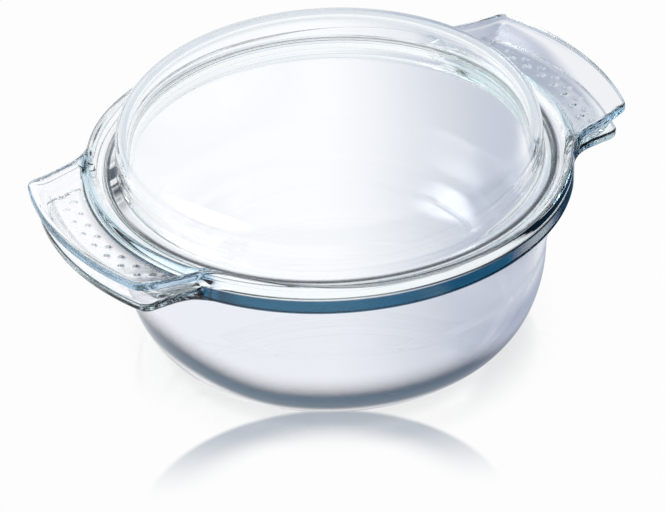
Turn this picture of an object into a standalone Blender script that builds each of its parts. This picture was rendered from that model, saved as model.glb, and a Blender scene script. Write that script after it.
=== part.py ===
"""Round covered casserole in clear pressed glass.

Two loose pieces: a deep dish with a thick rim band and two flat carrying tabs,
and a domed lid whose flange rests on the dish's rim and whose two tabs are
shallow trays flaring up over the dish's tabs. Metres, +Z up. The origin is the
centre of the dish's underside and the tabs lie along X.
"""

import math

import bmesh
import bpy
from mathutils import Matrix

# Shared
SEGMENTS = 64
GAP = 0.0003
SEAM = 0.0002
SHARP_ANGLE = math.radians(40.0)
RIM_RADIUS = 0.1050
EDGE_ROUND = 0.0011
TAB_SIDES = (("right", 0.0), ("left", math.pi))

# Dish
DISH_HEIGHT = 0.0790
FOOT_RADIUS = 0.0695
CORNER_RADIUS = 0.0926
CORNER_HEIGHT = 0.0405
WALL_TOP_RADIUS = 0.0976
WALL = 0.0047
BASE = 0.0052
BAND_HEIGHT = 0.0075
BAND_FILLET = 0.0022
SEAT_RADIUS = 0.0970
SEAT_DEPTH = 0.0042

# Lid, heights above the face that rests on the rim
FLANGE_TOP = 0.0052
VALLEY_RADIUS = 0.0988
VALLEY_TOP = 0.0031
DOME_RADIUS = 0.0920
DOME_FOOT = 0.0065
DOME_TOP = 0.0343
DOME_SIDE_POWER = 3.9
DOME_CROWN_POWER = 4.4
DOME_WALL = 0.0044
SKIRT_RADIUS = 0.0962
SKIRT_DEPTH = 0.0034

# Lid tab, heights above the face that rests on the rim
LID_TAB_REACH = 0.1310
LID_TAB_SIDE = 0.0710
LID_TAB_TAPER = math.radians(11.3)
LID_TAB_CORNER = 0.0062
LID_TAB_FILLET = 0.0240
LID_TAB_FLOOR = 0.0013
LID_TAB_UNDERSIDE = -0.0024
LID_TAB_LIFT = 0.0086
LID_ROOT_LENGTH = 0.0035
LID_LIP_START = 0.1190
LID_LIP_END = 0.1298
LID_WALL_FOOT = 0.0056
LID_WALL_CREST = 0.0014
LID_WALL_SHARE = 0.88
LID_TAB_SHIFT = 0.0028

# Dish tab, heights below the rim
DISH_TAB_REACH = 0.1272
DISH_TAB_SIDE = 0.0462
DISH_TAB_TAPER = 0.0
DISH_TAB_CORNER = 0.0060
DISH_TAB_FILLET = 0.0190
DISH_TAB_TOP = -0.0034
DISH_TAB_UNDERSIDE = -0.0072
DISH_TAB_RISE = 0.0006
DISH_ROOT_LENGTH = 0.0100

TAB_ROOT = 0.1030
LID_SIDE_SHARE = 0.885
DISH_SIDE_SHARE = 0.94

# Grip dimples
DIMPLE_PITCH = math.radians(5.0)
DIMPLE_OUTER_ROW = 0.1169
DIMPLE_INNER_ROW = 0.1127
DIMPLE_OUTER_COUNT = 9
DIMPLE_INNER_COUNT = 10
DIMPLE_RADIUS = 0.0015
DIMPLE_DEPTH = 0.0005
DIMPLE_SIDES = 8

GLASS_TINT = (0.80, 0.93, 0.95, 1.0)
GLASS_IOR = 1.47


def clear_scene():
    for old in list(bpy.data.objects):
        bpy.data.objects.remove(old, do_unlink=True)


def clamp_smooth(value, start, end):
    """0 before start, 1 after end, an S-curve between."""
    t = min(1.0, max(0.0, (value - start) / (end - start)))
    return t * t * (3.0 - 2.0 * t)


def arc(centre, radii, start, end, steps):
    """Points of an ellipse's arc in the profile plane, angles in degrees."""
    points = []
    for i in range(steps + 1):
        angle = math.radians(start + (end - start) * i / steps)
        points.append((centre[0] + radii[0] * math.cos(angle), centre[1] + radii[1] * math.sin(angle)))
    return points


def object_from(name, mesh_builder):
    mesh = bpy.data.meshes.new(name)
    mesh_builder.to_mesh(mesh)
    mesh_builder.free()
    mesh.shade_smooth()
    mesh.set_sharp_from_angle(angle=SHARP_ANGLE)
    obj = bpy.data.objects.new(name, mesh)
    bpy.context.scene.collection.objects.link(obj)
    return obj


def turned(name, profile):
    """A solid of revolution from an open profile that starts and ends on the axis."""
    builder = bmesh.new()
    points = [builder.verts.new((r, 0.0, z)) for r, z in profile]
    edges = [builder.edges.new(pair) for pair in zip(points, points[1:])]
    bmesh.ops.spin(
        builder,
        geom=points + edges,
        cent=(0.0, 0.0, 0.0),
        axis=(0.0, 0.0, 1.0),
        angle=2.0 * math.pi,
        steps=SEGMENTS,
        use_merge=True,
    )
    bmesh.ops.remove_doubles(builder, verts=builder.verts, dist=1e-6)
    bmesh.ops.recalc_face_normals(builder, faces=builder.faces)
    return object_from(name, builder)


def dish_profile():
    rim = DISH_HEIGHT
    band = rim - BAND_HEIGHT
    seat = rim - SEAT_DEPTH
    corner = (FOOT_RADIUS, CORNER_HEIGHT)
    outer_reach = CORNER_RADIUS - FOOT_RADIUS
    points = [(0.0, 0.0)]
    points += arc(corner, (outer_reach, CORNER_HEIGHT), -90, 0, 9)
    fillet = (WALL_TOP_RADIUS + BAND_FILLET, band - BAND_FILLET)
    points += arc(fillet, (BAND_FILLET, BAND_FILLET), 180, 90, 3)
    points += arc((RIM_RADIUS - EDGE_ROUND, band + EDGE_ROUND), (EDGE_ROUND, EDGE_ROUND), -90, 0, 3)
    points += arc((RIM_RADIUS - EDGE_ROUND, rim - EDGE_ROUND), (EDGE_ROUND, EDGE_ROUND), 0, 90, 3)
    points += arc((SEAT_RADIUS + EDGE_ROUND, rim - EDGE_ROUND), (EDGE_ROUND, EDGE_ROUND), 90, 180, 2)
    points.append((SEAT_RADIUS, seat))
    inner_top = WALL_TOP_RADIUS - WALL
    points += arc((inner_top + EDGE_ROUND, seat - EDGE_ROUND), (EDGE_ROUND, EDGE_ROUND), 90, 180, 2)
    points += arc(corner, (outer_reach - WALL, CORNER_HEIGHT - BASE), 0, -90, 8)
    points.append((0.0, BASE))
    return points


def superellipse(reach, foot, top, steps):
    """The dome's curve from its vertical side at foot height up to the axis."""
    points = []
    for i in range(steps + 1):
        share = i / steps
        angle = 0.5 * math.pi * share * share * (3.0 - 2.0 * share)
        r = reach * max(0.0, math.cos(angle)) ** (2.0 / DOME_SIDE_POWER)
        z = foot + (top - foot) * math.sin(angle) ** (2.0 / DOME_CROWN_POWER)
        points.append((r, z))
    points[-1] = (0.0, top)
    return points


def lid_profile():
    seat = DISH_HEIGHT + GAP
    outer = superellipse(DOME_RADIUS, seat + DOME_FOOT, seat + DOME_TOP, 14)
    points = list(reversed(outer))
    flare = (VALLEY_RADIUS - DOME_RADIUS, DOME_FOOT - VALLEY_TOP)
    points += arc((VALLEY_RADIUS, seat + DOME_FOOT), flare, 180, 270, 4)[1:]
    bead = (RIM_RADIUS - 2.0 * EDGE_ROUND, seat + FLANGE_TOP)
    points += [bead]
    points += arc((RIM_RADIUS - EDGE_ROUND, bead[1] - EDGE_ROUND), (EDGE_ROUND, EDGE_ROUND), 80, 0, 3)
    points += arc((RIM_RADIUS - EDGE_ROUND, seat + EDGE_ROUND), (EDGE_ROUND, EDGE_ROUND), 0, -90, 2)
    points.append((SKIRT_RADIUS, seat))
    inner_radius = DOME_RADIUS - DOME_WALL
    skirt = seat - SKIRT_DEPTH
    points += arc((SKIRT_RADIUS - EDGE_ROUND, skirt + EDGE_ROUND), (EDGE_ROUND, EDGE_ROUND), 0, -90, 2)
    points.append((inner_radius + 2.0 * EDGE_ROUND, skirt))
    points += superellipse(inner_radius, seat + DOME_FOOT, seat + DOME_TOP - DOME_WALL, 12)
    return points


def half_width(r, reach, side, taper, corner, fillet):
    """Half the tab's width where it crosses the circle of radius r.

    side is the distance from the axis to the line of the tab's side, which is
    turned by taper from the X direction. A fillet opens the side out to the rim
    and a rounded corner closes it at the outer edge.
    """
    fillet_distance = RIM_RADIUS + fillet
    fillet_angle = math.asin((side + fillet) / fillet_distance)
    fillet_end = math.hypot(fillet_distance * math.cos(fillet_angle), side)
    corner_distance = reach - corner
    corner_angle = math.asin((side - corner) / corner_distance)
    corner_start = math.hypot(corner_distance * math.cos(corner_angle), side)
    if r <= RIM_RADIUS:
        angle = fillet_angle
    elif r < fillet_end:
        angle = fillet_angle - triangle_angle(r, fillet_distance, fillet)
    elif r <= corner_start:
        angle = math.asin(side / r)
    else:
        angle = corner_angle + triangle_angle(r, corner_distance, corner)
    return r * math.sin(angle - taper)


def triangle_angle(a, b, opposite):
    """The angle between sides a and b of a triangle, facing its third side."""
    return math.acos(min(1.0, (a * a + b * b - opposite * opposite) / (2.0 * a * b)))


def tab(name, turn, radii, shares, outline, heights):
    """A tab as two height fields on a grid of arcs, closed at its edges.

    radii are the arcs, shares the columns from -1 to 1 across the width.
    outline is what half_width takes after r, and heights(r, inset) gives the
    top and the underside at that distance in from the tab's side.
    """
    builder = bmesh.new()
    layers = ([], [])
    for r in radii:
        width = half_width(r, *outline)
        rows = ([], [])
        for share in shares:
            y = share * width
            x = math.sqrt(r * r - y * y)
            for row, z in zip(rows, heights(r, width - abs(y))):
                row.append(builder.verts.new((x, y, z)))
        layers[0].append(rows[0])
        layers[1].append(rows[1])
    for layer in layers:
        for row, following in zip(layer, layer[1:]):
            for i in range(len(shares) - 1):
                builder.faces.new((row[i], row[i + 1], following[i + 1], following[i]))
    top, under = layers
    rim_paths = (
        (top[0], under[0]),
        (top[-1], under[-1]),
        ([row[0] for row in top], [row[0] for row in under]),
        ([row[-1] for row in top], [row[-1] for row in under]),
    )
    for upper, lower in rim_paths:
        for i in range(len(upper) - 1):
            builder.faces.new((upper[i], upper[i + 1], lower[i + 1], lower[i]))
    bmesh.ops.recalc_face_normals(builder, faces=builder.faces)
    outer = set(top[-1]) | set(under[-1])
    for i, r in enumerate(radii):
        if r > RIM_RADIUS + 2.0 * EDGE_ROUND:
            outer |= {top[i][0], top[i][-1], under[i][0], under[i][-1]}
    rounded = [edge for edge in builder.edges if outer.issuperset(edge.verts) and is_sharp(edge)]
    bmesh.ops.bevel(
        builder,
        geom=rounded,
        offset=EDGE_ROUND,
        segments=2,
        profile=0.5,
        affect="EDGES",
        clamp_overlap=True,
    )
    bmesh.ops.rotate(builder, verts=builder.verts, matrix=Matrix.Rotation(turn, 3, "Z"))
    return hide_as_tool(object_from(name, builder))


def is_sharp(edge):
    """True on the edge between a tab's broad face and its upright rim face."""
    upright = [abs(face.normal.z) < 0.2 for face in edge.link_faces]
    return upright.count(True) == 1


def hide_as_tool(obj):
    obj.hide_render = True
    obj.display_type = "WIRE"
    return obj


def lid_tab_heights(r, inset):
    seat = DISH_HEIGHT + GAP
    root = clamp_smooth(r, RIM_RADIUS, RIM_RADIUS + LID_ROOT_LENGTH)
    levels = []
    for base, shift in ((LID_TAB_FLOOR, 0.0), (LID_TAB_UNDERSIDE, LID_TAB_SHIFT)):
        lip = clamp_smooth(r, LID_LIP_START + shift, LID_LIP_END + shift)
        wall = 1.0 - clamp_smooth(inset, LID_WALL_CREST - shift, LID_WALL_FOOT - shift)
        lifted = 1.0 - (1.0 - lip) * (1.0 - LID_WALL_SHARE * wall)
        levels.append(base + LID_TAB_LIFT * lifted)
    flange = FLANGE_TOP - EDGE_ROUND
    top = seat + flange + root * (levels[0] - flange)
    under = seat + GAP + root * (levels[1] - GAP)
    return top, under


def dish_tab_heights(r, _):
    rise = DISH_TAB_RISE * clamp_smooth(r, RIM_RADIUS, DISH_TAB_REACH)
    return DISH_HEIGHT + DISH_TAB_TOP + rise, DISH_HEIGHT + DISH_TAB_UNDERSIDE + rise


def spread(start, end, steps):
    return [start + (end - start) * i / steps for i in range(steps + 1)]


def tab_shares(middle_steps, side_steps, side_share):
    """Column positions across a tab, closer together beyond side_share of its half width."""
    side = spread(side_share, 1.0, side_steps)
    middle = spread(-side_share, side_share, middle_steps)
    return [-share for share in side[:0:-1]] + middle + side[1:]


def corner_arcs(reach, corner, steps):
    """Radii that step evenly round a tab's outer corner."""
    return [reach - corner * (1.0 - math.sin(0.5 * math.pi * i / steps)) for i in range(steps + 1)]


def lid_tab(side, turn):
    root_end = RIM_RADIUS + LID_ROOT_LENGTH
    radii = [TAB_ROOT, RIM_RADIUS + SEAM]
    radii += spread(RIM_RADIUS + EDGE_ROUND, root_end, 2)
    radii += spread(root_end, LID_LIP_START, 3)[1:]
    radii += spread(LID_LIP_START, LID_TAB_REACH - LID_TAB_CORNER, 2)[1:-1]
    radii += corner_arcs(LID_TAB_REACH, LID_TAB_CORNER, 5)
    outline = (LID_TAB_REACH, LID_TAB_SIDE, LID_TAB_TAPER, LID_TAB_CORNER, LID_TAB_FILLET)
    shares = tab_shares(8, 4, LID_SIDE_SHARE)
    return tab("tool_lid_tab_" + side, turn, radii, shares, outline, lid_tab_heights)


def dish_tab(side, turn):
    radii = [TAB_ROOT, RIM_RADIUS + SEAM]
    radii += spread(RIM_RADIUS + EDGE_ROUND, RIM_RADIUS + DISH_ROOT_LENGTH, 4)
    radii += corner_arcs(DISH_TAB_REACH, DISH_TAB_CORNER, 4)
    outline = (DISH_TAB_REACH, DISH_TAB_SIDE, DISH_TAB_TAPER, DISH_TAB_CORNER, DISH_TAB_FILLET)
    shares = tab_shares(8, 1, DISH_SIDE_SHARE)
    return tab("tool_dish_tab_" + side, turn, radii, shares, outline, dish_tab_heights)


def dimple_places(turn):
    """Centres in plan of one tab's two staggered rows, along arcs round the axis."""
    places = []
    rows = ((DIMPLE_OUTER_ROW, DIMPLE_OUTER_COUNT), (DIMPLE_INNER_ROW, DIMPLE_INNER_COUNT))
    for radius, count in rows:
        for i in range(count):
            angle = turn + (i - 0.5 * (count - 1)) * DIMPLE_PITCH
            places.append((radius * math.cos(angle), radius * math.sin(angle)))
    return places


def dimple_cutter(name, surface):
    """Small balls that leave shallow round dimples in a level face below them."""
    ball = (DIMPLE_RADIUS**2 + DIMPLE_DEPTH**2) / (2.0 * DIMPLE_DEPTH)
    builder = bmesh.new()
    for _, turn in TAB_SIDES:
        for x, y in dimple_places(turn):
            made = bmesh.ops.create_uvsphere(
                builder,
                u_segments=DIMPLE_SIDES,
                v_segments=DIMPLE_SIDES,
                radius=ball,
            )
            height = surface + ball - DIMPLE_DEPTH
            bmesh.ops.translate(builder, verts=made["verts"], vec=(x, y, height))
    return hide_as_tool(object_from(name, builder))


def add_boolean(target, tool, operation):
    modifier = target.modifiers.new(operation.lower() + "_" + tool.name, "BOOLEAN")
    modifier.operation = operation
    modifier.solver = "EXACT"
    modifier.object = tool


def glass(name):
    material = bpy.data.materials.new(name)
    material.use_nodes = True
    shader = material.node_tree.nodes["Principled BSDF"]
    shader.inputs["Base Color"].default_value = GLASS_TINT
    shader.inputs["Roughness"].default_value = 0.02
    shader.inputs["IOR"].default_value = GLASS_IOR
    shader.inputs["Transmission Weight"].default_value = 1.0
    return material


def build_dish():
    dish = turned("dish", dish_profile())
    for side, turn in TAB_SIDES:
        add_boolean(dish, dish_tab(side, turn), "UNION")
    dish.data.materials.append(glass("clear_glass_dish"))


def build_lid():
    lid = turned("lid", lid_profile())
    for side, turn in TAB_SIDES:
        add_boolean(lid, lid_tab(side, turn), "UNION")
    floor = DISH_HEIGHT + GAP + LID_TAB_FLOOR
    add_boolean(lid, dimple_cutter("tool_lid_dimples", floor), "DIFFERENCE")
    lid.data.materials.append(glass("clear_glass_lid"))


clear_scene()
build_dish()
build_lid()
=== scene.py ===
"""Studio picture of a clear glass covered casserole on a pale glossy floor.

Lengths are in metres, and MM turns millimetres into them. An angle round the object starts at a tab's middle.
An azimuth is in degrees, starts at the front and grows to the right.
"""

import math

import bmesh
import bpy
import numpy as np
from mathutils import Matrix, Vector


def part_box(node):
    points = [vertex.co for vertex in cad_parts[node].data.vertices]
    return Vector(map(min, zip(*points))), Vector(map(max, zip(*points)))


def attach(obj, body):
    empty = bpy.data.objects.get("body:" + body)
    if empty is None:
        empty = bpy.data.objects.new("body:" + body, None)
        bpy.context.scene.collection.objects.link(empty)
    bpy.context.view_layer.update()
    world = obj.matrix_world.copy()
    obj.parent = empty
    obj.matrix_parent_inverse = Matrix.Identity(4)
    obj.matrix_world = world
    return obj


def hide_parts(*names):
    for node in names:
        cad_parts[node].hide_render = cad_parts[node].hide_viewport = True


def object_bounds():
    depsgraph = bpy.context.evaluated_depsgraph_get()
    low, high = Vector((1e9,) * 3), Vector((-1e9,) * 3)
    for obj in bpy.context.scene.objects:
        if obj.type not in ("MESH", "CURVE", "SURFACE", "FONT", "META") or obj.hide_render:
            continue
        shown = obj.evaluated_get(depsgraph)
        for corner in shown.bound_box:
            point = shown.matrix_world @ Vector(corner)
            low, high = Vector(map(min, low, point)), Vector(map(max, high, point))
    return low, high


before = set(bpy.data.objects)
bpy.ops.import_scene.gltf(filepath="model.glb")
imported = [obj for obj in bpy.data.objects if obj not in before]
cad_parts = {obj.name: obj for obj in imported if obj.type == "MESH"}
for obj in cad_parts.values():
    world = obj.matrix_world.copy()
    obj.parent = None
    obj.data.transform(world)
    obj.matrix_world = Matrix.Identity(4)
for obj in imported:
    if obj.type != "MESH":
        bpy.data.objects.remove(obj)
cad_lo, cad_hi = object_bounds()
dish_lo, dish_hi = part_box("dish")
lid_lo, lid_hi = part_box("lid")

scene = bpy.context.scene

MM = 0.001

# Sizes taken from the frame
RIM = (dish_hi.y - dish_lo.y) / 2.0
TOP = dish_hi.z
LID_PLAY = 0.3 * MM
SEAT = TOP + LID_PLAY
LID_REACH = (lid_hi.x - lid_lo.x) / 2.0
DISH_REACH = (dish_hi.x - dish_lo.x) / 2.0
CROWN = lid_hi.z - SEAT


def smooth(value, start, end):
    """0 before start, 1 after end, an S-curve between."""
    t = np.clip((value - start) / (end - start), 0.0, 1.0)
    return t * t * (3.0 - 2.0 * t)


def dropping(value, start, end):
    """1 before start, 0 after end, an S-curve between."""
    return 1.0 - smooth(value, start, end)


def within(value, start, end, soft):
    """1 inside start..end, falling off over soft at both ends."""
    return smooth(value, start - soft, start + soft) * dropping(value, end - soft, end + soft)


# ---------------------------------------------------------------- tab outlines


class Outline:
    """A tab's outline in plan, as the radius reached at each angle from the tab's middle.

    It is an arc round the axis, a rounded corner, a straight side and a fillet into the rim.
    side is the side line's distance from the axis, and taper is its turn from straight out.
    """

    def __init__(self, reach, side, taper, corner, fillet):
        self.reach, self.side, self.taper = reach, side, taper
        self.corner, self.fillet = corner, fillet
        self.fillet_far = RIM + fillet
        self.fillet_angle = math.asin((side + fillet) / self.fillet_far) - taper
        self.fillet_along = self.fillet_far * math.cos(self.fillet_angle + taper)
        self.corner_far = reach - corner
        self.corner_angle = math.asin((side - corner) / self.corner_far) - taper
        corner_along = self.corner_far * math.cos(self.corner_angle + taper)
        self.side_start = math.asin(side / math.hypot(corner_along, side)) - taper
        self.side_end = math.asin(side / math.hypot(self.fillet_along, side)) - taper

    def radius(self, angle):
        a = abs(angle)
        if a <= self.corner_angle:
            return self.reach
        if a <= self.side_start:
            along = self.corner_far * math.cos(a - self.corner_angle)
            aside = self.corner_far * math.sin(a - self.corner_angle)
            return along + math.sqrt(max(0.0, self.corner**2 - aside**2))
        if a <= self.side_end:
            return self.side / math.sin(a + self.taper)
        if a < self.fillet_angle:
            along = self.fillet_far * math.cos(self.fillet_angle - a)
            aside = self.fillet_far * math.sin(self.fillet_angle - a)
            return along - math.sqrt(max(0.0, self.fillet**2 - aside**2))
        return RIM

    def inset(self, r, angle):
        """Distance in from the side line or from the fillet, for an array of radii at one angle."""
        a = abs(angle)
        from_side = self.side - r * math.sin(a + self.taper)
        x = self.fillet_far * math.cos(self.fillet_angle)
        y = self.fillet_far * math.sin(self.fillet_angle)
        from_fillet = np.hypot(r * math.cos(a) - x, r * math.sin(a) - y) - self.fillet
        return np.where(r * math.cos(a + self.taper) > self.fillet_along, from_side, from_fillet)

    def edge_stretch(self, angle):
        """How much longer a radial cut through the edge is than one square to it."""
        step = math.radians(0.05)
        slope = (self.radius(angle + step) - self.radius(angle - step)) / (2.0 * step)
        return math.sqrt(1.0 + (slope / self.radius(angle)) ** 2)

    def angles(self):
        """Columns round the axis: close together on a tab's sides, wider elsewhere."""
        fine_start = self.corner_angle - math.radians(1.5)
        fine_end = self.fillet_angle + math.radians(1.0)
        stops = ((0.0, fine_start, 1.1), (fine_start, fine_end, 0.33), (fine_end, math.pi / 2.0, 1.8))
        quarter = []
        for start, end, pitch in stops:
            steps = max(1, round((end - start) / math.radians(pitch)))
            quarter += [start + (end - start) * i / steps for i in range(steps)]
        quarter.append(math.pi / 2.0)
        half = quarter + [math.pi - a for a in reversed(quarter[:-1])]
        return half + [-a for a in reversed(half[1:-1])]


LID_TAB = Outline(LID_REACH, 71.0 * MM, math.radians(11.3), 6.2 * MM, 24.0 * MM)
DISH_TAB = Outline(DISH_REACH, 46.2 * MM, 0.0, 6.0 * MM, 19.0 * MM)


def from_tab(angle):
    """The angle from the nearer tab's middle."""
    a = abs(angle)
    return min(a, math.pi - a)


# ---------------------------------------------------------------- profile parts

DOME_SIDE_POWER = 3.9
DOME_TOP_POWER = 4.4


def line(a, b, steps):
    """Points from a to b. a is left out, because the part before ends with it."""
    t = np.linspace(0.0, 1.0, steps + 1)[1:]
    return np.stack([a[0] + (b[0] - a[0]) * t, a[1] + (b[1] - a[1]) * t], 1)


def arc(centre, radii, start, end, steps):
    """Points of an elliptical arc between two angles in degrees. Its first point is left out."""
    t = np.radians(np.linspace(start, end, steps + 1)[1:])
    return np.stack([centre[0] + radii[0] * np.cos(t), centre[1] + radii[1] * np.sin(t)], 1)


def rounding(centre, radius, start, end, steps):
    """Points of a circular arc. Its first point is left out."""
    return arc(centre, (radius, radius), start, end, steps)


def dome(reach, foot, top, steps):
    """Superellipse from the axis out to its upright side."""
    t = np.linspace(1.0, 0.0, steps + 1)
    angle = 0.5 * math.pi * t * t * (3.0 - 2.0 * t)
    r = reach * np.clip(np.cos(angle), 0.0, 1.0) ** (2.0 / DOME_SIDE_POWER)
    z = foot + (top - foot) * np.sin(angle) ** (2.0 / DOME_TOP_POWER)
    r[0] = 0.0
    return np.stack([r, z], 1)


def size(parts):
    """How many points the parts have together."""
    return sum(len(part) for part in parts)


# ---------------------------------------------------------------- lid

# Heights are above the seat on the rim. A pair is where a slope starts and where it ends.
DOME_RADIUS = 92.0 * MM
DOME_FOOT = 6.5 * MM
DOME_WALL = 4.4 * MM
VALLEY_DEPTH = 3.4 * MM
FLANGE_START = 98.8 * MM
FLANGE_RISE = 2.1 * MM
FLANGE_RADII = (FLANGE_START, 103.4 * MM)
SHOULDER_RISE = 3.4 * MM
SHOULDER_RADII = (100.5 * MM, 105.0 * MM)
SHOULDER_UP = (math.radians(23.0), math.radians(30.0))
SHOULDER_DOWN = (math.radians(34.0), math.radians(75.0))
TRAY_TOP = 1.3 * MM
TRAY_UNDER = -2.4 * MM
TOP_ROOT = (103.9 * MM, 107.6 * MM)
UNDER_ROOT = (105.0 * MM, 108.5 * MM)
LIP_RISE = 8.6 * MM
TOP_LIP = (119.0 * MM, 129.8 * MM)
UNDER_LIP = (119.6 * MM, 130.2 * MM)
SIDE_SHARE = 0.88
TOP_SIDE = (1.4 * MM, 5.6 * MM)
UNDER_SIDE = (0.6 * MM, 4.9 * MM)
LID_EDGE = 1.0 * MM
SPIGOT_RADIUS = 96.2 * MM
SPIGOT_INNER = 89.8 * MM
SPIGOT_BOTTOM = -3.4 * MM
SPIGOT_CORNER = 1.1 * MM
SPIGOT_FILLET = 1.5 * MM

# Where the rows of the top and of the underside lie, as shares of the way out to the edge
TOP_STOPS = ((0.0, 0.12, 5), (0.12, 0.36, 22), (0.36, 1.0, 38))
TOP_SHARES = np.concatenate([np.linspace(*stop)[1:] for stop in TOP_STOPS])
UNDER_SHARES = np.linspace(1.0, 0.0, 30)


def tray(level, lip, side):
    """The height of a tab's tray, which the upturned lip and the lower side walls raise."""
    return level + LIP_RISE * (1.0 - (1.0 - lip) * (1.0 - SIDE_SHARE * side))


def lid_upper(r, angle):
    """The top of the flange and the tab. Beside a tab the flange rises to a shoulder."""
    side = dropping(LID_TAB.inset(r, angle), *TOP_SIDE)
    level = tray(TRAY_TOP, smooth(r, *TOP_LIP), side)
    flange = DOME_FOOT - VALLEY_DEPTH + FLANGE_RISE * smooth(r, *FLANGE_RADII)
    beside = smooth(angle, *SHOULDER_UP) * dropping(angle, *SHOULDER_DOWN)
    flange = flange + SHOULDER_RISE * beside * smooth(r, *SHOULDER_RADII)
    return flange + smooth(r, *TOP_ROOT) * (level - flange)


def lid_under(r, angle):
    """The underside of the flange and the tab."""
    side = dropping(LID_TAB.inset(r, angle), *UNDER_SIDE)
    return smooth(r, *UNDER_ROOT) * tray(TRAY_UNDER, smooth(r, *UNDER_LIP), side)


def lid_spigot():
    """The ring under the flange that keeps the lid centred, from its outer face in to the dome."""
    corner = (SPIGOT_RADIUS - SPIGOT_CORNER, SPIGOT_BOTTOM + SPIGOT_CORNER)
    return [
        line((SPIGOT_RADIUS, 0.0), (SPIGOT_RADIUS, corner[1]), 3),
        rounding(corner, SPIGOT_CORNER, 0, -90, 4),
        line((corner[0], SPIGOT_BOTTOM), (SPIGOT_INNER, SPIGOT_BOTTOM), 4),
        rounding((SPIGOT_INNER, SPIGOT_BOTTOM + SPIGOT_FILLET), SPIGOT_FILLET, 270, 200, 4),
    ]


def lid_profile(angle):
    """The lid's cut at one angle, over the top and back underneath, and the spans of rows that get painted
    shade.
    """
    a = from_tab(angle)
    out = LID_TAB.radius(a)
    edge = LID_EDGE * LID_TAB.edge_stretch(a)
    r = FLANGE_START + (out - edge - FLANGE_START) * TOP_SHARES
    upper = np.stack([r, lid_upper(r, a)], 1)
    r = SPIGOT_RADIUS + (out - edge - SPIGOT_RADIUS) * UNDER_SHARES
    under = np.stack([r, lid_under(r, a)], 1)
    high, low = upper[-1][1] - LID_EDGE, under[0][1] + LID_EDGE
    parts = [dome(DOME_RADIUS, DOME_FOOT, CROWN, 44)]
    parts.append(arc((FLANGE_START, DOME_FOOT), (FLANGE_START - DOME_RADIUS, VALLEY_DEPTH), 180, 270, 9))
    parts.append(upper)
    edge_start = size(parts)
    parts.append(arc((out - edge, high), (edge, LID_EDGE), 90, 0, 5))
    parts.append(line((out, high), (out, low), 4))
    parts.append(arc((out - edge, low), (edge, LID_EDGE), 0, -90, 5)[:-1])
    edge_end = size(parts)
    parts.append(under)
    parts += lid_spigot()
    parts.append(dome(DOME_RADIUS - DOME_WALL, DOME_FOOT, CROWN - DOME_WALL, 40)[::-1])
    points = np.concatenate(parts)
    points[:, 1] += SEAT
    return points, {"edge": (edge_start, edge_end), "crest": (edge_start - 1, edge_start + 4)}


# ---------------------------------------------------------------- dish

FOOT_RADIUS = 69.5 * MM
CORNER_HEIGHT = 40.5 * MM
WALL_LOW = 92.6 * MM
WALL_HIGH = 97.6 * MM
WALL = 4.7 * MM
BASE = 5.2 * MM
BAND_HEIGHT = 7.5 * MM
BAND_FILLET = 2.2 * MM
BAND_LEAN = 4.6 * MM
UNDER_STEP = 0.3 * MM
UNDER_STEP_RADII = (103.0 * MM, 108.0 * MM)
UNDER_RISE = 0.6 * MM
DISH_EDGE = 1.2 * MM
TAB_DROP = 2.8 * MM
TAB_SLOPE = 0.5 * MM
TAB_COVE = 1.3 * MM
TAB_GROWS = (RIM + 1.0 * MM, RIM + 7.0 * MM)
RIM_ROUND = 1.1 * MM
LEDGE_RADIUS = 97.0 * MM
LEDGE_DEPTH = 4.2 * MM
LEDGE_FILLET = 0.8 * MM


def tab_outer(out, edge, low):
    """A tab's edge, its top, and the rim band above it."""
    top = TOP - TAB_DROP
    root = top - TAB_SLOPE
    return np.concatenate(
        [
            line((out, low), (out, top - DISH_EDGE), 3),
            arc((out - edge, top - DISH_EDGE), (edge, DISH_EDGE), 0, 90, 5),
            line((out - edge, top), (RIM + TAB_COVE, root), 20),
            rounding((RIM + TAB_COVE, root + TAB_COVE), TAB_COVE, 270, 180, 5),
            line((RIM, root + TAB_COVE), (RIM, TOP - RIM_ROUND), 3),
        ]
    )


def dish_outer(out, edge, low):
    """The rim band's outer face, which turns into a tab as the outline grows out of the rim."""
    tab = tab_outer(out, edge, low)
    high = TOP - RIM_ROUND
    z = np.linspace(low, high, len(tab) + 1)[1:]
    plain = np.stack([RIM + (out - RIM) * dropping(z, TOP - BAND_LEAN, high), z], 1)
    return plain + float(smooth(out, *TAB_GROWS)) * (tab - plain)


def dish_rim():
    """The rounded rim, and inside it the ledge that leaves room for the lid's spigot."""
    outer, inner = RIM - RIM_ROUND, LEDGE_RADIUS + RIM_ROUND
    ledge = TOP - LEDGE_DEPTH
    fillet = (LEDGE_RADIUS - LEDGE_FILLET, ledge + LEDGE_FILLET)
    lip = WALL_HIGH - WALL + RIM_ROUND
    return [
        rounding((outer, TOP - RIM_ROUND), RIM_ROUND, 0, 90, 5),
        line((outer, TOP), (inner, TOP), 4),
        rounding((inner, TOP - RIM_ROUND), RIM_ROUND, 90, 180, 4),
        line((LEDGE_RADIUS, TOP - RIM_ROUND), (LEDGE_RADIUS, fillet[1]), 3),
        rounding(fillet, LEDGE_FILLET, 0, -90, 3),
        line((fillet[0], ledge), (lip, ledge), 2),
        rounding((lip, ledge - RIM_ROUND), RIM_ROUND, 90, 180, 4),
    ]


def dish_inside():
    """The inner wall and the top of the base."""
    low, high = WALL_LOW - WALL, WALL_HIGH - WALL
    corner_radii = (low - FOOT_RADIUS, CORNER_HEIGHT - BASE)
    return [
        line((high, TOP - LEDGE_DEPTH - RIM_ROUND), (low, CORNER_HEIGHT), 10),
        arc((FOOT_RADIUS, CORNER_HEIGHT), corner_radii, 0, -90, 34),
        line((FOOT_RADIUS, BASE), (0.0, BASE), 6),
    ]


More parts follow.
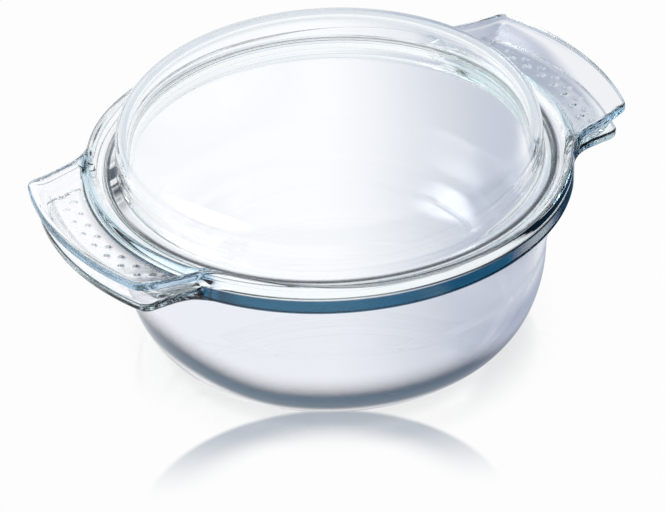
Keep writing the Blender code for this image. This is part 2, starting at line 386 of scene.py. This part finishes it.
def dish_profile(angle):
    """The dish's cut at one angle, from under the base out and back inside, and the spans of rows that get
    painted shade.
    """
    a = from_tab(angle)
    out = DISH_TAB.radius(a)
    edge = DISH_EDGE * DISH_TAB.edge_stretch(a)
    band = TOP - BAND_HEIGHT
    fillet = (WALL_HIGH + BAND_FILLET, band - BAND_FILLET)
    parts = [[(0.0, 0.0)], line((0.0, 0.0), (FOOT_RADIUS, 0.0), 6)]
    parts.append(arc((FOOT_RADIUS, CORNER_HEIGHT), (WALL_LOW - FOOT_RADIUS, CORNER_HEIGHT), -90, 0, 34))
    parts.append(line((WALL_LOW, CORNER_HEIGHT), (WALL_HIGH, fillet[1]), 10))
    parts.append(rounding(fillet, BAND_FILLET, 180, 90, 7))
    r = fillet[0] + (out - edge - fillet[0]) * np.linspace(0.0, 1.0, 22)[1:]
    under = band + UNDER_STEP * smooth(r, *UNDER_STEP_RADII) + UNDER_RISE * smooth(r, RIM, DISH_REACH)
    parts.append(np.stack([r, under], 1))
    edge_start = size(parts)
    low = under[-1] + DISH_EDGE
    parts.append(arc((out - edge, low), (edge, DISH_EDGE), -90, 0, 6))
    parts.append(dish_outer(out, edge, low))
    outside_end = size(parts) + 3
    parts += dish_rim() + dish_inside()
    return np.concatenate(parts), {"edge": (edge_start, edge_start + 14), "outside": (0, outside_end)}


# ---------------------------------------------------------------- painted shade

# Painted light and shade: colours that stand for light that has come a long way round inside the glass
TEAL = np.array((0.0005, 0.0160, 0.0500))
NAVY = np.array((0.0001, 0.0045, 0.0220))
VALLEY_SHADE = np.array((0.0003, 0.0026, 0.0090))
STEEL = np.array((0.11, 0.25, 0.42))
EDGE_BLUE = np.array((0.20, 0.44, 0.70))
PALE_BLUE = np.array((0.38, 0.64, 0.78))
PALE_TEAL = np.array((0.30, 0.52, 0.54))
SLATE = np.array((0.004, 0.014, 0.030))
WALL_SHADE = np.array((0.72, 0.73, 0.79))
DIM = np.array((0.50, 0.56, 0.64))


def streaks(value, pitch):
    """Uneven fine streaks, 0 to 1."""
    t = value / pitch
    waves = np.sin(t) + 0.7 * np.sin(2.31 * t + 1.3) + 0.5 * np.sin(4.7 * t + 0.4)
    return np.clip(0.5 + 0.24 * waves, 0.0, 1.0)


class Skin:
    """The points of a body, where each lies, and the painted light and shade laid on each.

    z is above level. from_middle is degrees from the nearer tab's middle, positive to the back, and aside
    is the same without its sign.
    """

    def __init__(self, points, row, spans, level):
        self.x, self.y, self.z = points[:, 0], points[:, 1], points[:, 2] - level
        self.r = np.hypot(self.x, self.y)
        self.azimuth = np.degrees(np.arctan2(self.x, -self.y))
        self.from_middle = np.degrees(np.arctan2(self.y, np.abs(self.x)))
        self.aside = np.abs(self.from_middle)
        self.row, self.spans = row, spans
        self.colours = np.ones((len(points), 3))

    def on(self, span):
        """1 on this span's rows."""
        start, end = self.spans[span]
        return ((self.row >= start) & (self.row < end)).astype(float)

    def lay(self, colour, share):
        """Multiplies the painted shade colour in, wholly where share is 1."""
        self.colours = self.colours * (1.0 + (colour - 1.0) * share[:, None])


# Where the dish's painted shade lies. A pair of azimuths or of angles from a tab's middle is in degrees.
BAND_HEIGHTS = (TOP - 7.6 * MM, TOP - 0.5 * MM)
BAND_FACE = (RIM - 1.2 * MM, RIM - 0.7 * MM)
BAND_NAVY = (26.0, 75.0)
DISH_TAB_STARTS = (RIM + 1.0 * MM, RIM + 5.0 * MM)
DISH_TAB_SIDES = (15.0, 20.0)
LEFT_ROOT_AZIMUTHS = (-78.0, -55.0)
LEFT_ROOT_RADII = (101.0 * MM, 120.0 * MM)
RING_START = (3.0 * MM, 10.0 * MM)
RING_END = (18.0 * MM, 32.0 * MM)
RING_CLIMB = 10.0 * MM
RING_DIP = 7.0 * MM
BASE_RADII = (68.0 * MM, 80.0 * MM)
BASE_HEIGHTS = (2.0 * MM, 6.0 * MM)
BOWL_RADII = (100.0 * MM, 101.0 * MM)
WALL_SHADE_START = (15.0 * MM, 30.0 * MM)
WALL_SHADE_END = (TOP - 12.0 * MM, TOP - 6.0 * MM)


def paint_band_shade(skin, outside, on_tab):
    """Painted shade: a dark blue-green rim band, navy at the right front."""
    band = within(skin.z, *BAND_HEIGHTS, 0.3 * MM) * smooth(skin.r, *BAND_FACE)
    right = within(skin.azimuth, *BAND_NAVY, 12.0)
    skin.lay(TEAL, outside * band * (1.0 - on_tab) * (1.0 - right))
    skin.lay(NAVY, outside * band * (1.0 - on_tab) * right)


def paint_dish_tab_shade(skin, outside, on_tab):
    """Painted shade on the tabs: streaked blue sides, a pale blue end, and dark streaks where the left tab
    meets the bowl in front.
    """
    edge = skin.on("edge") * on_tab
    sides = smooth(skin.aside, *DISH_TAB_SIDES)
    skin.lay(STEEL, edge * sides * streaks(skin.r + 2.0 * skin.z, 5.0 * MM))
    skin.lay(PALE_BLUE, 0.35 * edge * (1.0 - sides))
    root = within(skin.azimuth, *LEFT_ROOT_AZIMUTHS, 7.0) * within(skin.r, *LEFT_ROOT_RADII, 4.0 * MM)
    fine = streaks(skin.r - 1.5 * skin.y, 2.5 * MM)
    skin.lay(TEAL, outside * root * smooth(fine, 0.25, 0.6))


def ring_level(skin):
    """Height above the foot's ring of painted shade, which climbs at the left and dips at the right."""
    left = smooth(skin.azimuth, -180.0, -95.0) * dropping(skin.azimuth, -88.0, -45.0)
    right = smooth(skin.azimuth, 5.0, 28.0) * dropping(skin.azimuth, 60.0, 170.0)
    return skin.z - RING_CLIMB * left + RING_DIP * right


def paint_bowl_shade(skin, outside):
    """Painted shade: a slight bluish darkening on the wall, and a dark slate ring round the foot and under
    it.
    """
    level = ring_level(skin)
    ring = smooth(level, *RING_START) * dropping(level, *RING_END)
    base = within(skin.r, *BASE_RADII, 1.5 * MM) * dropping(skin.z, *BASE_HEIGHTS)
    skin.lay(WALL_SHADE, outside * smooth(skin.z, *WALL_SHADE_START) * dropping(skin.z, *WALL_SHADE_END))
    skin.lay(SLATE, outside * np.maximum(ring, 0.75 * base) * dropping(skin.r, *BOWL_RADII))


# Painted shade on the dish's rim band, tabs and bowl.
def dish_painted_shade(skin):
    outside = skin.on("outside")
    on_tab = smooth(skin.r, *DISH_TAB_STARTS)
    paint_band_shade(skin, outside, on_tab)
    paint_dish_tab_shade(skin, outside, on_tab)
    paint_bowl_shade(skin, outside)


# Where the lid's painted shade lies. Heights are above the seat.
LID_TAB_STARTS = (RIM + 0.5 * MM, RIM + 3.0 * MM)
FLANGE_NAVY = (24.0, 70.0)
FLANGE_NAVY_TOP = (3.6 * MM, 4.4 * MM)
ROOT_RADII = (102.6 * MM, 107.2 * MM)
ROOT_ENDS = (30.0, 36.0)
ROOT_BLUER = (14.0, 27.0)
RIGHT_FLOOR = (50.0 * MM, 100.0 * MM)
FLOOR_RADII = (107.0 * MM, 119.5 * MM)
FLOOR_BELOW = 2.0 * MM
VALLEY_RADII = (96.1 * MM, 98.3 * MM)
VALLEY_FAINT = (-150.0, -95.0)
PATCH_RADII = (91.5 * MM, 96.0 * MM)
PATCH_HEIGHTS = (11.0 * MM, 15.0 * MM)
PATCH_ANGLES = (9.0, 32.0)
INNER_RADIUS = 97.5 * MM
INNER_HEIGHTS = (9.0 * MM, 14.0 * MM)
INNER_ANGLES = (16.0, 26.0)


def paint_lid_edge_shade(skin):
    """Painted shade: blue tab edges, and round the rim a dark slate crest with navy under it at the right
    front.
    """
    on_tab = smooth(skin.r, *LID_TAB_STARTS)
    edge = skin.on("edge")
    skin.lay(EDGE_BLUE, edge * on_tab * (0.75 + 0.25 * streaks(skin.r + 3.0 * skin.z, 6.0 * MM)))
    right = within(skin.azimuth, *FLANGE_NAVY, 12.0)
    skin.lay(NAVY, edge * (1.0 - on_tab) * right * dropping(skin.z, *FLANGE_NAVY_TOP))
    skin.lay(SLATE, 0.8 * skin.on("crest") * (1.0 - on_tab))


def paint_lid_tab_shade(skin, top):
    """Painted shade: light blue streaks along each tab's root, bluer to its ends, and a dimmer floor in the
    right tab.
    """
    root = top * within(skin.r, *ROOT_RADII, 0.7 * MM) * dropping(skin.aside, *ROOT_ENDS)
    skin.lay(PALE_BLUE, root * (0.55 + 0.45 * streaks(skin.r, 0.5 * MM)))
    bluer = smooth(skin.aside, *ROOT_BLUER)
    skin.lay(STEEL, 0.9 * root * bluer * streaks(skin.r + skin.z, 0.8 * MM))
    floor = within(skin.r, *FLOOR_RADII, 0.8 * MM) * (skin.z < FLOOR_BELOW)
    skin.lay(DIM, top * smooth(skin.x, *RIGHT_FLOOR) * floor)


def paint_valley_shade(skin, top):
    """Painted shade: a dark line round the dome, fainter at the left back, and dark streaks behind each tab's
    middle.
    """
    valley = top * within(skin.r, *VALLEY_RADII, 0.5 * MM)
    skin.lay(VALLEY_SHADE, valley * (1.0 - 0.75 * within(skin.azimuth, *VALLEY_FAINT, 12.0)))
    patch = top * within(skin.r, *PATCH_RADII, 0.8 * MM) * dropping(skin.z, *PATCH_HEIGHTS)
    patch = patch * within(skin.from_middle, *PATCH_ANGLES, 4.0)
    skin.lay(VALLEY_SHADE, patch * smooth(streaks(skin.y + 0.6 * skin.z, 2.1 * MM), 0.15, 0.5))


def paint_inside_shade(skin):
    """Painted shade: pale streaks low on the dome's inside, next to the tabs."""
    inner = (skin.row >= skin.spans["edge"][1]) * (skin.r < INNER_RADIUS)
    inner = inner * dropping(skin.z, *INNER_HEIGHTS) * dropping(skin.aside, *INNER_ANGLES)
    skin.lay(PALE_TEAL, inner * (0.5 + 0.5 * streaks(skin.y + skin.z, 2.3 * MM)))


# Painted shade on the lid's edges, tabs, valley and inside.
def lid_painted_shade(skin):
    top = skin.row < skin.spans["edge"][0]
    paint_lid_edge_shade(skin)
    paint_lid_tab_shade(skin, top)
    paint_valley_shade(skin, top)
    paint_inside_shade(skin)


# ---------------------------------------------------------------- meshes


def signed_volume(mesh):
    """Six times the volume, negative where the faces point inwards."""
    mesh.calc_loop_triangles()
    points = np.empty(len(mesh.vertices) * 3)
    mesh.vertices.foreach_get("co", points)
    points = points.reshape(-1, 3)
    faces = np.empty(len(mesh.loop_triangles) * 3, np.int32)
    mesh.loop_triangles.foreach_get("vertices", faces)
    a, b, c = (points[faces.reshape(-1, 3)[:, i]] for i in range(3))
    return float(np.einsum("ij,ij->i", a, np.cross(b, c)).sum())


def swept_faces(count, inner):
    """Faces between neighbouring columns of inner points, and fans to the axis points, which come last."""
    first, last = count * inner, count * inner + 1
    faces = []
    for i in range(count):
        a, b = i * inner, ((i + 1) % count) * inner
        faces.append((first, b, a))
        faces += [(a + k, b + k, b + k + 1, a + k + 1) for k in range(inner - 1)]
        faces.append((last, a + inner - 1, b + inner - 1))
    return faces


def paint(mesh, colours):
    """Stores the painted light and shade as the colour that light takes on at each point of the surface."""
    whole = np.ones((len(colours), 4), np.float32)
    whole[:, :3] = colours
    layer = mesh.attributes.new("painted_shade", "FLOAT_COLOR", "POINT")
    layer.data.foreach_set("color", whole.reshape(-1))


def swept(name, outline, profile, painted_shade, level):
    """A closed body with painted shade: one profile a column, axis to axis, joined round the axis."""
    angles = outline.angles()
    cuts = [profile(a) for a in angles]
    columns = np.array([points for points, _ in cuts])
    count, rows = columns.shape[0], columns.shape[1]
    inner = rows - 2
    turn = np.array(angles)[:, None]
    r, z = columns[:, 1:-1, 0], columns[:, 1:-1, 1]
    points = np.stack([r * np.cos(turn), r * np.sin(turn), z], 2).reshape(-1, 3)
    points = np.concatenate([points, [[0.0, 0.0, columns[0, 0, 1]], [0.0, 0.0, columns[0, -1, 1]]]])
    mesh = bpy.data.meshes.new(name)
    mesh.from_pydata(points.tolist(), [], swept_faces(count, inner))
    if signed_volume(mesh) < 0.0:
        mesh.flip_normals()
    mesh.shade_smooth()
    row = np.append(np.tile(np.arange(1, inner + 1), count), (0, rows - 1))
    skin = Skin(points, row, cuts[0][1], level)
    painted_shade(skin)
    paint(mesh, skin.colours)
    obj = bpy.data.objects.new(name, mesh)
    scene.collection.objects.link(obj)
    return obj


# ---------------------------------------------------------------- dimples

# The radius of each row on a tab and how many dimples it has
DIMPLE_ROWS = ((116.9 * MM, 9), (112.7 * MM, 10))
DIMPLE_PITCH = math.radians(5.0)
DIMPLE_RADIUS = 1.95 * MM
DIMPLE_DEPTH = 0.62 * MM
DIMPLED_ABOVE = SEAT + TRAY_TOP - 0.35 * MM
DIMPLED_RADII = (110.3 * MM, 119.6 * MM)
DIMPLED_ANGLE = math.radians(24.0)

# Edges longer than the first number get as many cuts as the second says
FINER = ((1.3 * MM, 4), (0.8 * MM, 1))
SAME_RADIUS = 0.15 * MM


def dimple_places():
    """Where the dimples' middles lie in plan, on both tabs."""
    places = []
    for radius, count in DIMPLE_ROWS:
        for turn in (0.0, math.pi):
            for i in range(count):
                a = turn + (i - 0.5 * (count - 1)) * DIMPLE_PITCH
                places.append((radius * math.cos(a), radius * math.sin(a)))
    return np.array(places)


def on_floor(vertex):
    """Whether a vertex is on top of a tab's tray, where the dimples are."""
    x, y, z = vertex.co
    low, high = DIMPLED_RADII
    upper = z > DIMPLED_ABOVE and vertex.normal.z > 0.6
    return upper and low < math.hypot(x, y) < high and from_tab(math.atan2(y, x)) < DIMPLED_ANGLE


def runs_round(edge):
    """Whether an edge runs round the axis, not out from it."""
    first, second = (math.hypot(v.co.x, v.co.y) for v in edge.verts)
    return abs(first - second) < SAME_RADIUS


def make_finer(builder):
    """Cuts the long edges that run round the axis on the trays."""
    for shortest, cuts in FINER:
        longer = [e for e in builder.edges if e.calc_length() > shortest]
        edges = [e for e in longer if all(map(on_floor, e.verts)) and runs_round(e)]
        bmesh.ops.subdivide_edges(builder, edges=edges, cuts=cuts, use_grid_fill=True)


def press_dimples(obj):
    """Two staggered rows of shallow round dimples on each tab's tray, where the mesh is first made finer."""
    builder = bmesh.new()
    builder.from_mesh(obj.data)
    make_finer(builder)
    builder.normal_update()
    places = dimple_places()
    for vertex in [v for v in builder.verts if on_floor(v)]:
        d = np.hypot(places[:, 0] - vertex.co.x, places[:, 1] - vertex.co.y).min() / DIMPLE_RADIUS
        if d < 1.0:
            vertex.co.z -= DIMPLE_DEPTH * (1.0 - d * d * d)
    builder.to_mesh(obj.data)
    builder.free()
    obj.data.shade_smooth()


# ---------------------------------------------------------------- node trees


class Graph:
    """Short calls that add nodes to a tree and link them. Each gives the new node's result."""

    def __init__(self, tree):
        self.nodes, self.links = tree.nodes, tree.links

    def ranged(self, value, low, high, low_out=0.0, high_out=1.0):
        """value from low..high smoothed to low_out..high_out."""
        node = self.nodes.new("ShaderNodeMapRange")
        node.interpolation_type = "SMOOTHSTEP"
        node.inputs["From Min"].default_value = low
        node.inputs["From Max"].default_value = high
        node.inputs["To Min"].default_value = low_out
        node.inputs["To Max"].default_value = high_out
        self.links.new(value, node.inputs["Value"])
        return node.outputs["Result"]

    def blended(self, factor, first, second):
        """A colour blend; factor is a socket, first and second are sockets or plain colours."""
        node = self.nodes.new("ShaderNodeMix")
        node.data_type = "RGBA"
        self.links.new(factor, node.inputs["Factor"])
        for place, colour in ((6, first), (7, second)):
            if isinstance(colour, tuple):
                node.inputs[place].default_value = colour
            else:
                self.links.new(colour, node.inputs[place])
        return node.outputs[2]

    def multiplied(self, first, second):
        node = self.nodes.new("ShaderNodeMath")
        node.operation = "MULTIPLY"
        self.links.new(first, node.inputs[0])
        self.links.new(second, node.inputs[1])
        return node.outputs[0]

    def vector_math(self, operation, vector, other=(0.0, 0.0, 0.0)):
        node = self.nodes.new("ShaderNodeVectorMath")
        node.operation = operation
        node.inputs[1].default_value = other
        self.links.new(vector, node.inputs[0])
        return node.outputs

    def dotted(self, vector, direction):
        return self.vector_math("DOT_PRODUCT", vector, direction)["Value"]

    def length_of(self, vector):
        return self.vector_math("LENGTH", vector)["Value"]

    def distance(self, vector, place):
        return self.length_of(self.vector_math("SUBTRACT", vector, place)["Vector"])


# ---------------------------------------------------------------- glass

GLASS_IOR = 1.48
GLASS_BODY = (0.62, 0.86, 0.93, 1.0)
GLASS_DENSITY = 7.0
NO_PAINTED_SHADE = (1.0, 1.0, 1.0, 1.0)


def clear_glass(name):
    """Clear pressed glass with a faint blue-green body. The painted shade shows on the faces' outer side
    only.
    """
    material = bpy.data.materials.new(name)
    material.use_nodes = True
    graph = Graph(material.node_tree)
    nodes, links = graph.nodes, graph.links
    shader = nodes["Principled BSDF"]
    stored = nodes.new("ShaderNodeAttribute")
    stored.attribute_name = "painted_shade"
    inside = nodes.new("ShaderNodeNewGeometry").outputs["Backfacing"]
    links.new(graph.blended(inside, stored.outputs["Color"], NO_PAINTED_SHADE), shader.inputs["Base Color"])
    shader.inputs["Roughness"].default_value = 0.0
    shader.inputs["IOR"].default_value = GLASS_IOR
    shader.inputs["Transmission Weight"].default_value = 1.0
    body = nodes.new("ShaderNodeVolumeAbsorption")
    body.inputs["Color"].default_value = GLASS_BODY
    body.inputs["Density"].default_value = GLASS_DENSITY
    links.new(body.outputs["Volume"], nodes["Material Output"].inputs["Volume"])
    return material


# ---------------------------------------------------------------- pieces

dish = swept("dish_glass", DISH_TAB, dish_profile, dish_painted_shade, 0.0)
lid = swept("lid_glass", LID_TAB, lid_profile, lid_painted_shade, SEAT)
press_dimples(lid)
dish.data.materials.append(clear_glass("clear_glass_dish"))
lid.data.materials.append(clear_glass("clear_glass_lid"))
for piece, body in ((dish, "dish"), (lid, "lid")):
    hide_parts(body)
    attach(piece, body)
    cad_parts[body].material_slots[0].material = piece.data.materials[0]


# ---------------------------------------------------------------- floor

# The camera sees the floor as WHITE. Rays that have met the glass see it shaded, so that the glass shows.
WHITE = (0.982, 0.982, 0.982, 1.0)
FLOOR_LIT = (1.0, 0.998, 1.02, 1.0)
FLOOR_SHADED = (0.45, 0.49, 0.60, 1.0)
FLOOR_EDGE = (0.86, 0.87, 0.91, 1.0)
FLOOR_SIDE = (0.03, 0.10, 0.20, 1.0)
FLOOR_FAR = (0.30, 0.38, 0.46, 1.0)
FLOOR_BEHIND = (0.66, 0.72, 0.78, 1.0)
# The colour of the foot's painted reflection in the floor
FLOOR_PAINTED_REFLECTION = (0.43, 0.48, 0.55, 1.0)

# Where each shade gives way to the next: along the first direction, and out from the middle
ACROSS = (0.864, -0.504, 0.0)
SHADED_ACROSS = (-10.0 * MM, 100.0 * MM)
EDGE_ACROSS = (100.0 * MM, 122.0 * MM)
SIDE_ACROSS = (124.0 * MM, 142.0 * MM)
FAR_AWAY = (300.0 * MM, 700.0 * MM)

# The foot's painted reflection in the floor is a part of a ring. It fades out along FORWARD.
REFLECTION_CENTRE = (-82.8 * MM, -124.8 * MM, 0.0)
REFLECTION_INNER = (52.0 * MM, 70.5 * MM)
REFLECTION_OUTER = (75.5 * MM, 79.0 * MM)
FORWARD = (-0.504, -0.864, 0.0)
REFLECTION_FADE = (72.0 * MM, 132.0 * MM)

MIRROR_SHARE = 0.25
MIRROR_FADE = (74.0 * MM, 105.0 * MM)
FLOOR_HALF = 12.0
FLOOR_DROP = 0.2 * MM


def painted_foot_reflection(graph, place):
    """How strongly the foot's painted reflection shows in the floor: an arc in front of the object that fades
    out.
    """
    distance = graph.distance(place, REFLECTION_CENTRE)
    inner = graph.ranged(distance, *REFLECTION_INNER)
    outer = graph.ranged(distance, *REFLECTION_OUTER, 1.0, 0.0)
    fade = graph.ranged(graph.dotted(place, FORWARD), *REFLECTION_FADE, 1.0, 0.0)
    return graph.multiplied(graph.multiplied(inner, outer), fade)


def floor_shade(graph, place, away, rays):
    """The floor as rays from the glass see it. At the far right it is dark to mirrored rays only."""
    across = graph.dotted(place, ACROSS)
    shade = graph.blended(graph.ranged(across, *SHADED_ACROSS), FLOOR_LIT, FLOOR_SHADED)
    shade = graph.blended(graph.ranged(across, *EDGE_ACROSS), shade, FLOOR_EDGE)
    side = graph.multiplied(graph.ranged(across, *SIDE_ACROSS), rays["Is Reflection Ray"])
    shade = graph.blended(side, shade, FLOOR_SIDE)
    far = graph.blended(rays["Is Transmission Ray"], FLOOR_FAR, FLOOR_BEHIND)
    return graph.blended(graph.ranged(away, *FAR_AWAY), shade, far)


def floor_material():
    """To the camera a plain white with the foot's painted reflection and a faint mirror close to the foot."""
    material = bpy.data.materials.new("pale_floor")
    material.use_nodes = True
    graph = Graph(material.node_tree)
    nodes, links = graph.nodes, graph.links
    nodes.remove(nodes["Principled BSDF"])
    place = nodes.new("ShaderNodeNewGeometry").outputs["Position"]
    rays = nodes.new("ShaderNodeLightPath").outputs
    away = graph.length_of(place)
    # White with the foot's painted reflection, as the camera sees it
    plain = graph.blended(painted_foot_reflection(graph, place), WHITE, FLOOR_PAINTED_REFLECTION)
    seen = graph.blended(rays["Is Camera Ray"], floor_shade(graph, place, away, rays), plain)
    glow = nodes.new("ShaderNodeEmission")
    links.new(seen, glow.inputs["Color"])
    mirror = nodes.new("ShaderNodeBsdfGlossy")
    mirror.inputs["Roughness"].default_value = 0.0
    fade = graph.ranged(away, *MIRROR_FADE, MIRROR_SHARE, 0.0)
    mix = nodes.new("ShaderNodeMixShader")
    links.new(graph.multiplied(fade, rays["Is Camera Ray"]), mix.inputs["Fac"])
    links.new(glow.outputs[0], mix.inputs[1])
    links.new(mirror.outputs[0], mix.inputs[2])
    links.new(mix.outputs[0], nodes["Material Output"].inputs["Surface"])
    return material


def make_floor():
    mesh = bpy.data.meshes.new("floor")
    level = cad_lo.z - FLOOR_DROP
    signs = ((-1, -1), (1, -1), (1, 1), (-1, 1))
    corners = [(x * FLOOR_HALF, y * FLOOR_HALF, level) for x, y in signs]
    mesh.from_pydata(corners, [], [(0, 1, 2, 3)])
    obj = bpy.data.objects.new("floor", mesh)
    scene.collection.objects.link(obj)
    mesh.materials.append(floor_material())


make_floor()


# ---------------------------------------------------------------- studio

# Each patch of the studio round the object: azimuth, elevation, half angle and softness in degrees, colour.
# The last is the small bright lamp that makes the highlight on the dome.
STUDIO_DARK = (0.05, 0.12, 0.19, 1.0)
STUDIO = (
    (-115.0, 25.0, 42.0, 14.0, (0.88, 0.93, 0.98, 1.0)),
    (150.0, 30.0, 72.0, 14.0, (1.0, 1.0, 1.0, 1.0)),
    (150.0, 80.0, 50.0, 12.0, (1.0, 1.0, 1.0, 1.0)),
    (-100.0, 20.0, 20.0, 8.0, (6.5, 6.5, 6.5, 1.0)),
)

# The front of the studio is pale to rays that have come through the glass, so that it is clear from the back
STUDIO_FRONT = (0.78, 0.84, 0.89, 1.0)
FRONT = (-0.4925, -0.853035, 0.174)
FRONT_FACING = (0.25, 0.75)


def towards(azimuth, elevation):
    """The direction out to an azimuth and an elevation in degrees."""
    a, e = math.radians(azimuth), math.radians(elevation)
    return (math.sin(a) * math.cos(e), -math.cos(a) * math.cos(e), math.sin(e))


def make_world():
    """Plain white to the camera, and a dark studio with bright patches to rays that have met the glass."""
    world = bpy.data.worlds.new("studio")
    scene.world = world
    world.use_nodes = True
    graph = Graph(world.node_tree)
    nodes, links = graph.nodes, graph.links
    nodes.clear()
    out = nodes.new("ShaderNodeOutputWorld")
    background = nodes.new("ShaderNodeBackground")
    links.new(background.outputs[0], out.inputs[0])
    direction = nodes.new("ShaderNodeTexCoord").outputs["Generated"]
    rays = nodes.new("ShaderNodeLightPath").outputs
    colour = STUDIO_DARK
    for azimuth, elevation, half, soft, patch in STUDIO:
        facing = graph.dotted(direction, towards(azimuth, elevation))
        outer, inner = math.cos(math.radians(half + soft)), math.cos(math.radians(half - soft))
        colour = graph.blended(graph.ranged(facing, outer, inner), colour, patch)
    facing = graph.dotted(direction, FRONT)
    through = graph.multiplied(graph.ranged(facing, *FRONT_FACING), rays["Is Transmission Ray"])
    colour = graph.blended(through, colour, STUDIO_FRONT)
    colour = graph.blended(rays["Is Camera Ray"], colour, WHITE)
    links.new(colour, background.inputs["Color"])
    background.inputs["Strength"].default_value = 1.0


make_world()


# ---------------------------------------------------------------- camera

CAMERA_AZIMUTH, CAMERA_ELEVATION = -30.24, 33.72
CAMERA_ROLL = math.radians(2.71)
CAMERA_FAR = 17.7606 * RIM
SENSOR_WIDTH = 36.0
LENS = 234.387068

# The camera stands this far right of and below the line back from the rim's centre, without turning
CAMERA_RIGHT = 0.0005381497 * CAMERA_FAR
CAMERA_DOWN = 0.0215791115 * CAMERA_FAR


def make_camera():
    """The photograph's viewpoint: a long lens, looking down over one tab, with a slight tilt."""
    back = Vector(towards(CAMERA_AZIMUTH, CAMERA_ELEVATION))
    x, y, _ = towards(CAMERA_AZIMUTH, 0.0)
    level_right = Vector((-y, x, 0.0))
    level_up = level_right.cross(-back)
    right = level_right * math.cos(CAMERA_ROLL) - level_up * math.sin(CAMERA_ROLL)
    up = level_right * math.sin(CAMERA_ROLL) + level_up * math.cos(CAMERA_ROLL)
    place = Vector((0.0, 0.0, TOP)) + back * CAMERA_FAR + right * CAMERA_RIGHT - up * CAMERA_DOWN
    data = bpy.data.cameras.new("camera")
    data.sensor_width = SENSOR_WIDTH
    data.sensor_fit = "HORIZONTAL"
    data.lens = LENS
    data.clip_start = 0.05
    data.clip_end = 100.0
    obj = bpy.data.objects.new("camera", data)
    scene.collection.objects.link(obj)
    obj.matrix_world = Matrix.Translation(place) @ Matrix((right, up, back)).transposed().to_4x4()
    scene.camera = obj


make_camera()

# Light goes through many walls of clear glass on its way
scene.view_settings.view_transform = "Standard"
scene.cycles.max_bounces = 32
scene.cycles.transmission_bounces = 32
scene.cycles.glossy_bounces = 12
scene.cycles.transparent_max_bounces = 16
scene.cycles.caustics_refractive = True
scene.cycles.caustics_reflective = True
scene.cycles.use_denoising = True
